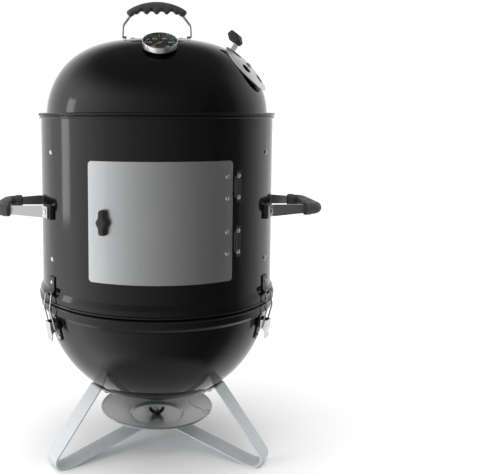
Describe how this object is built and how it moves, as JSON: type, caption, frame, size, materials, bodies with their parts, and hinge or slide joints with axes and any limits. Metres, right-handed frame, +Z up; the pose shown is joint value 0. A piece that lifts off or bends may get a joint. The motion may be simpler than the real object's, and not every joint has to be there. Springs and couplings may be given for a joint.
{
  "type": "vertical water smoker",
  "caption": "Upright charcoal water smoker with a domed lid, barrel with a hinged door, fire bowl on bent flat legs, grates, water pan and ash pan.",
  "frame": {"origin": "on the floor, under the axis of the barrel", "axes": "+Z up along the barrel's axis, -Y towards the door, X across the side handles"},
  "size_m": [0.649, 0.4812, 0.9],
  "materials": {
    "black_enamel": "deep gloss vitreous enamel",
    "door_steel": "fine vertical brushing, grey",
    "bright_steel": "bright satin",
    "chrome_wire": "bright plated wire",
    "galvanised": "pale galvanised, fine grain",
    "zinc_fastener": "bright zinc",
    "grey_plastic": "fine matt grain",
    "black_plastic": "satin black",
    "black_steel": "black satin paint",
    "dial_face": "matt black dial with pale marks",
    "needle": "painted pointer",
    "glass": "clear flat glass"
  },
  "bodies": {
    "stand": {"ash_pan": "galvanised", "barrel_bolts": "zinc_fastener", "barrel_hinge_leaves": "black_steel", "barrel_rivets": "zinc_fastener", "barrel_shell": "black_enamel", "bowl_brackets": "black_steel", "bowl_shell": "black_enamel", "centre_bolt": "zinc_fastener", "damper_rivet": "zinc_fastener", "grate_brackets": "black_steel", "handle_pads": "black_plastic", "hex_nuts": "zinc_fastener", "hinge_pins": "black_steel", "latch_bases": "black_steel", "latch_keepers": "black_steel", "latch_pins": "zinc_fastener", "latch_rivets": "zinc_fastener", "left_handle_grip": "grey_plastic", "left_handle_strap": "bright_steel", "leg_bolts": "zinc_fastener", "leg_left": "galvanised", "leg_rear": "galvanised", "leg_right": "galvanised", "right_handle_grip": "grey_plastic", "right_handle_strap": "bright_steel", "wing_nut": "black_plastic"},
    "lid": {"lid_shell": "black_enamel", "lid_handle_plate": "bright_steel", "lid_handle_wire": "chrome_wire", "lid_handle_grip": "grey_plastic", "lid_handle_bolts": "zinc_fastener", "thermometer_case": "chrome_wire", "thermometer_dial": "dial_face", "thermometer_glass": "glass", "thermometer_stem": "bright_steel", "thermometer_nut": "zinc_fastener", "lid_vent_rivet": "zinc_fastener"},
    "needle": {"thermometer_needle": "needle"},
    "vent": {"lid_vent_damper": "bright_steel", "lid_vent_knob": "black_plastic"},
    "door": {"door_panel": "door_steel", "door_hinge_leaves": "black_steel", "door_rivets": "zinc_fastener"},
    "door_latch": {"door_knob": "black_plastic", "door_latch_tongue": "black_steel"},
    "damper": {"bottom_damper": "bright_steel", "damper_lever": "chrome_wire"},
    "upper_grate": {"upper_grate": "chrome_wire", "upper_grate_loops": "chrome_wire"},
    "middle_grate": {"middle_grate": "chrome_wire", "middle_grate_loops": "chrome_wire"},
    "lower_grate": {"lower_grate": "chrome_wire"},
    "water_pan": {"water_pan": "black_enamel"},
    "charcoal_grate": {"charcoal_grate": "black_steel"},
    "latch_left": {"latch_lever_left": "chrome_wire"},
    "bail_left": {"latch_bail_left": "chrome_wire"},
    "latch_right": {"latch_lever_right": "chrome_wire"},
    "bail_right": {"latch_bail_right": "chrome_wire"},
    "latch_rear": {"latch_lever_rear": "chrome_wire"},
    "bail_rear": {"latch_bail_rear": "chrome_wire"}
  },
  "joints": [
    {"name": "lid_lift", "type": "slide", "parent": "stand", "child": "lid", "axis": [0, 0, 1], "range_m": [0, 0.2]},
    {"name": "needle_turn", "type": "hinge", "parent": "lid", "child": "needle", "pos_m": [0, -0.155, 0.79609], "axis": [0, 0.5412, -0.8409], "range_deg": [0, 250]},
    {"name": "vent_turn", "type": "hinge", "parent": "lid", "child": "vent", "pos_m": [0.17038, -0.07586, 0.76791], "axis": [0.6885, -0.3065, 0.6572], "range_deg": [0, 45]},
    {"name": "door_swing", "type": "hinge", "parent": "stand", "child": "door", "pos_m": [0.13198, -0.19347, 0.5], "axis": [0, 0, 1], "range_deg": [0, 120]},
    {"name": "door_latch_turn", "type": "hinge", "parent": "door", "child": "door_latch", "pos_m": [-0.09847, -0.21117, 0.491], "axis": [0.4226, 0.9063, 0], "range_deg": [0, 90]},
    {"name": "damper_turn", "type": "hinge", "parent": "stand", "child": "damper", "pos_m": [0, 0, 0.108], "axis": [0, 0, 1], "range_deg": [-50, 0]},
    {"name": "upper_grate_lift", "type": "slide", "parent": "stand", "child": "upper_grate", "axis": [0, 0, 1], "range_m": [0, 0.01]},
    {"name": "middle_grate_lift", "type": "slide", "parent": "stand", "child": "middle_grate", "axis": [0, 0, 1], "range_m": [0, 0.12]},
    {"name": "lower_grate_lift", "type": "slide", "parent": "stand", "child": "lower_grate", "axis": [0, 0, 1], "range_m": [0, 0.025]},
    {"name": "water_pan_lift", "type": "slide", "parent": "lower_grate", "child": "water_pan", "axis": [0, 0, 1], "range_m": [0, 0.025]},
    {"name": "charcoal_grate_lift", "type": "slide", "parent": "stand", "child": "charcoal_grate", "axis": [0, 0, 1], "range_m": [0, 0.06]},
    {"name": "latch_left_turn", "type": "hinge", "parent": "stand", "child": "latch_left", "pos_m": [-0.20092, -0.116, 0.286], "axis": [-0.5, 0.866, 0], "range_deg": [0, 85]},
    {"name": "bail_left_turn", "type": "hinge", "parent": "latch_left", "child": "bail_left", "pos_m": [-0.20092, -0.116, 0.276], "axis": [-0.5, 0.866, 0], "range_deg": [-75, 0]},
    {"name": "latch_right_turn", "type": "hinge", "parent": "stand", "child": "latch_right", "pos_m": [0.20092, -0.116, 0.286], "axis": [-0.5, -0.866, 0], "range_deg": [0, 85]},
    {"name": "bail_right_turn", "type": "hinge", "parent": "latch_right", "child": "bail_right", "pos_m": [0.20092, -0.116, 0.276], "axis": [-0.5, -0.866, 0], "range_deg": [-75, 0]},
    {"name": "latch_rear_turn", "type": "hinge", "parent": "stand", "child": "latch_rear", "pos_m": [0, 0.232, 0.286], "axis": [1, 0, 0], "range_deg": [0, 85]},
    {"name": "bail_rear_turn", "type": "hinge", "parent": "latch_rear", "child": "bail_rear", "pos_m": [0, 0.232, 0.276], "axis": [1, 0, 0], "range_deg": [-75, 0]}
  ],
  "couplings": [
    {"joint": "bail_left_turn", "follows": "latch_left_turn", "ratio": -0.87},
    {"joint": "bail_right_turn", "follows": "latch_right_turn", "ratio": -0.87},
    {"joint": "bail_rear_turn", "follows": "latch_rear_turn", "ratio": -0.87}
  ]
}
